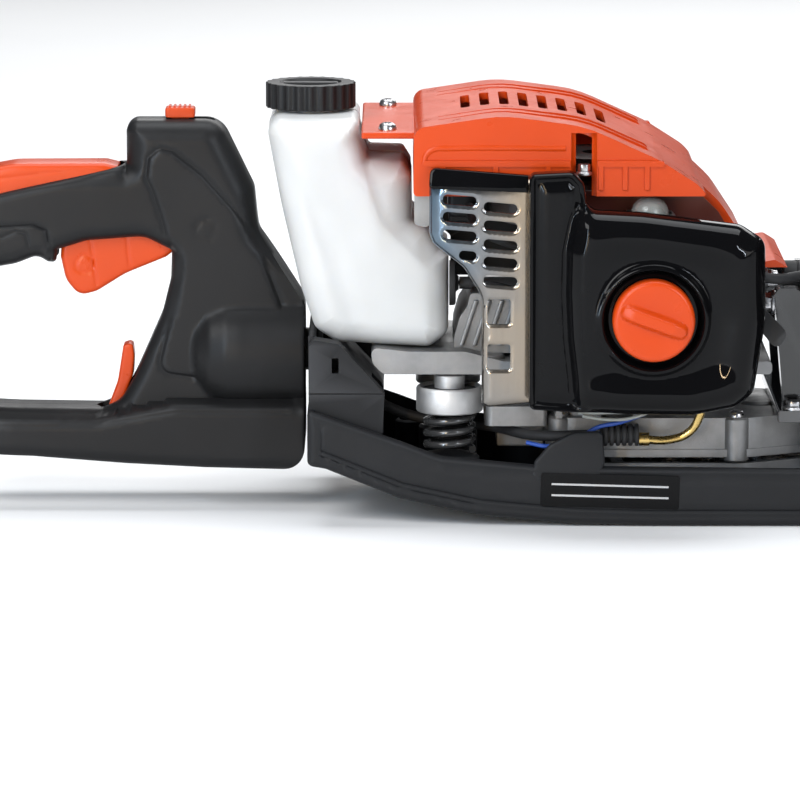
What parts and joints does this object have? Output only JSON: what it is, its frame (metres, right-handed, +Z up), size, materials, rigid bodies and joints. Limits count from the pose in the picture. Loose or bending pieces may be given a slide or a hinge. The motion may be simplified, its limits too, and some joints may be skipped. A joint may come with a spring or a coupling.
{
  "type": "hedge trimmer",
  "caption": "Petrol hedge trimmer with a turning loop rear handle, sprung hull, tubular front handle and double-sided reciprocating blades.",
  "frame": {"origin": "centre of the bounding box at ground level, under the middle of the machine", "axes": "+X forward to the blade tips, +Y to the left of the user, +Z up"},
  "size_m": [0.9998, 0.252, 0.2227],
  "materials": {
    "satin_black_plastic": "satin moulded",
    "gloss_black_plastic": "high gloss moulded",
    "hull_grey_plastic": "fine-textured moulded",
    "orange_plastic": "gloss moulded",
    "tank_white_plastic": "translucent blow-moulded",
    "primer_clear_plastic": "clear soft dome",
    "cast_aluminium": "die cast",
    "steel": "machined",
    "black_painted_steel": "gloss black paint",
    "blade_steel": "ground",
    "yellow_zinc": "yellow zinc plate",
    "black_rubber": "matte",
    "filter_felt": "felt",
    "starter_rope": "braided"
  },
  "bodies": {
    "chassis": {"hull": "hull_grey_plastic", "handle_bearing": "satin_black_plastic", "av_spring_rear_right": "black_painted_steel", "av_spring_rear_left": "black_painted_steel", "av_spring_front_right": "black_painted_steel", "av_spring_front_left": "black_painted_steel", "av_cup_right": "cast_aluminium", "av_cup_left": "cast_aluminium", "gearcase": "cast_aluminium", "gearcase_cover": "cast_aluminium", "guide_bar": "steel", "crankcase_lower": "cast_aluminium", "crankcase_upper": "cast_aluminium", "cylinder": "cast_aluminium", "ignition_coil": "satin_black_plastic", "spark_plug": "steel", "ignition_lead": "black_rubber", "carburettor": "cast_aluminium", "intake_insulator": "satin_black_plastic", "side_panel": "gloss_black_plastic", "air_filter": "filter_felt", "muffler": "black_painted_steel", "muffler_guard": "satin_black_plastic", "starter_cover": "orange_plastic", "fuel_tank": "tank_white_plastic", "fuel_grommet": "black_rubber", "fuel_hose": "black_rubber", "front_bracket": "black_painted_steel", "front_handle": "black_painted_steel", "hand_guard": "satin_black_plastic", "throttle_cable": "black_rubber", "cable_boot": "black_rubber", "cable_tube": "yellow_zinc"},
    "rear_handle": {"rear_handle_right": "satin_black_plastic", "rear_handle_left": "satin_black_plastic"},
    "trigger": {"throttle_trigger": "orange_plastic"},
    "lockout": {"throttle_lockout": "orange_plastic"},
    "lock_lever": {"handle_lock_lever": "orange_plastic"},
    "switch": {"stop_switch": "orange_plastic"},
    "cleaner_cover": {"cleaner_cover": "gloss_black_plastic"},
    "cover_knob": {"cover_knob": "orange_plastic"},
    "primer": {"primer_bulb": "primer_clear_plastic"},
    "choke": {"choke_lever": "satin_black_plastic"},
    "carburettor_lever": {"carburettor_lever": "yellow_zinc"},
    "fuel_cap": {"fuel_cap": "satin_black_plastic"},
    "starter_grip": {"starter_grip": "satin_black_plastic", "starter_rope": "starter_rope"},
    "starter_reel": {"starter_reel": "satin_black_plastic"},
    "crank": {"crankshaft_lower": "steel", "crankshaft_upper": "steel", "flywheel": "cast_aluminium", "clutch_shoes": "cast_aluminium"},
    "clutch_drum": {"clutch_drum": "steel"},
    "cam": {"cam_gear": "steel"},
    "piston": {"piston": "cast_aluminium", "piston_pin": "steel"},
    "connecting_rod": {"connecting_rod": "steel"},
    "upper_blade": {"upper_blade": "blade_steel"},
    "lower_blade": {"lower_blade": "blade_steel"}
  },
  "joints": [
    {"name": "rear_handle_turn", "type": "hinge", "parent": "chassis", "child": "rear_handle", "pos_m": [-0.3059, 0, 0.0725], "axis": [1, 0, 0], "range_deg": [-90, 90]},
    {"name": "throttle_trigger_pull", "type": "hinge", "parent": "rear_handle", "child": "trigger", "pos_m": [-0.371, 0, 0.124], "axis": [0, 1, 0], "range_deg": [0, 16], "stiffness_Nm_per_rad": 0.25, "springref_deg": -20.05},
    {"name": "throttle_lockout_press", "type": "hinge", "parent": "rear_handle", "child": "lockout", "pos_m": [-0.395, 0, 0.156], "axis": [0, -1, 0], "range_deg": [0, 9], "stiffness_Nm_per_rad": 0.3, "springref_deg": -20.05},
    {"name": "handle_lock_pull", "type": "hinge", "parent": "rear_handle", "child": "lock_lever", "pos_m": [-0.395, 0, 0.038], "axis": [0, -1, 0], "range_deg": [0, 20], "stiffness_Nm_per_rad": 0.15, "springref_deg": -17.19},
    {"name": "stop_switch_slide", "type": "slide", "parent": "rear_handle", "child": "switch", "axis": [1, 0, 0], "range_m": [0, 0.008]},
    {"name": "cleaner_cover_lift", "type": "slide", "parent": "chassis", "child": "cleaner_cover", "axis": [0, -1, 0], "range_m": [0, 0.06]},
    {"name": "cover_knob_turn", "type": "hinge", "parent": "cleaner_cover", "child": "cover_knob", "pos_m": [-0.1463, 0, 0.1011], "axis": [0, -1, 0], "continuous": true},
    {"name": "primer_press", "type": "slide", "parent": "chassis", "child": "primer", "axis": [0, 0, -1], "range_m": [0, 0.004], "stiffness_N_per_m": 400, "springref_m": -0.002},
    {"name": "choke_turn", "type": "hinge", "parent": "chassis", "child": "choke", "pos_m": [-0.1025, -0.0735, 0.106], "axis": [0, 1, 0], "range_deg": [0, 30]},
    {"name": "carburettor_lever_turn", "type": "hinge", "parent": "chassis", "child": "carburettor_lever", "pos_m": [-0.127, -0.062, 0.08], "axis": [0, 0, 1], "range_deg": [0, 60]},
    {"name": "fuel_cap_turn", "type": "hinge", "parent": "chassis", "child": "fuel_cap", "pos_m": [-0.303, 0, 0.19], "axis": [0, 0, 1], "continuous": true},
    {"name": "starter_pull", "type": "slide", "parent": "chassis", "child": "starter_grip", "axis": [0, 1, 0], "range_m": [0, 0.07], "stiffness_N_per_m": 60, "springref_m": -0.1},
    {"name": "starter_reel_turn", "type": "hinge", "parent": "chassis", "child": "starter_reel", "pos_m": [-0.169, 0, 0.16], "axis": [0, 0, 1], "range_deg": [-170, 0]},
    {"name": "crank_turn", "type": "hinge", "parent": "chassis", "child": "crank", "pos_m": [-0.169, 0, 0.105], "axis": [0, 0, 1], "continuous": true},
    {"name": "clutch_drum_turn", "type": "hinge", "parent": "chassis", "child": "clutch_drum", "pos_m": [-0.169, 0, 0.055], "axis": [0, 0, 1], "continuous": true},
    {"name": "cam_turn", "type": "hinge", "parent": "chassis", "child": "cam", "pos_m": [-0.133, 0, 0.034], "axis": [0, 0, 1], "continuous": true},
    {"name": "piston_slide", "type": "slide", "parent": "chassis", "child": "piston", "axis": [1, 0, 0], "range_m": [-0.024, 0]},
    {"name": "connecting_rod_swing", "type": "hinge", "parent": "piston", "child": "connecting_rod", "pos_m": [-0.119, 0, 0.105], "axis": [0, 0, 1], "range_deg": [-18, 18]},
    {"name": "upper_blade_slide", "type": "slide", "parent": "chassis", "child": "upper_blade", "axis": [1, 0, 0], "range_m": [-0.008, 0.008]},
    {"name": "lower_blade_slide", "type": "slide", "parent": "chassis", "child": "lower_blade", "axis": [1, 0, 0], "range_m": [-0.008, 0.008]}
  ],
  "couplings": [
    {"joint": "carburettor_lever_turn", "follows": "throttle_trigger_pull", "ratio": 3.75},
    {"joint": "starter_reel_turn", "follows": "starter_pull", "rad_per_m": -41.15},
    {"joint": "clutch_drum_turn", "follows": "cam_turn", "ratio": -4.1429},
    {"joint": "lower_blade_slide", "follows": "upper_blade_slide", "ratio": -1}
  ]
}
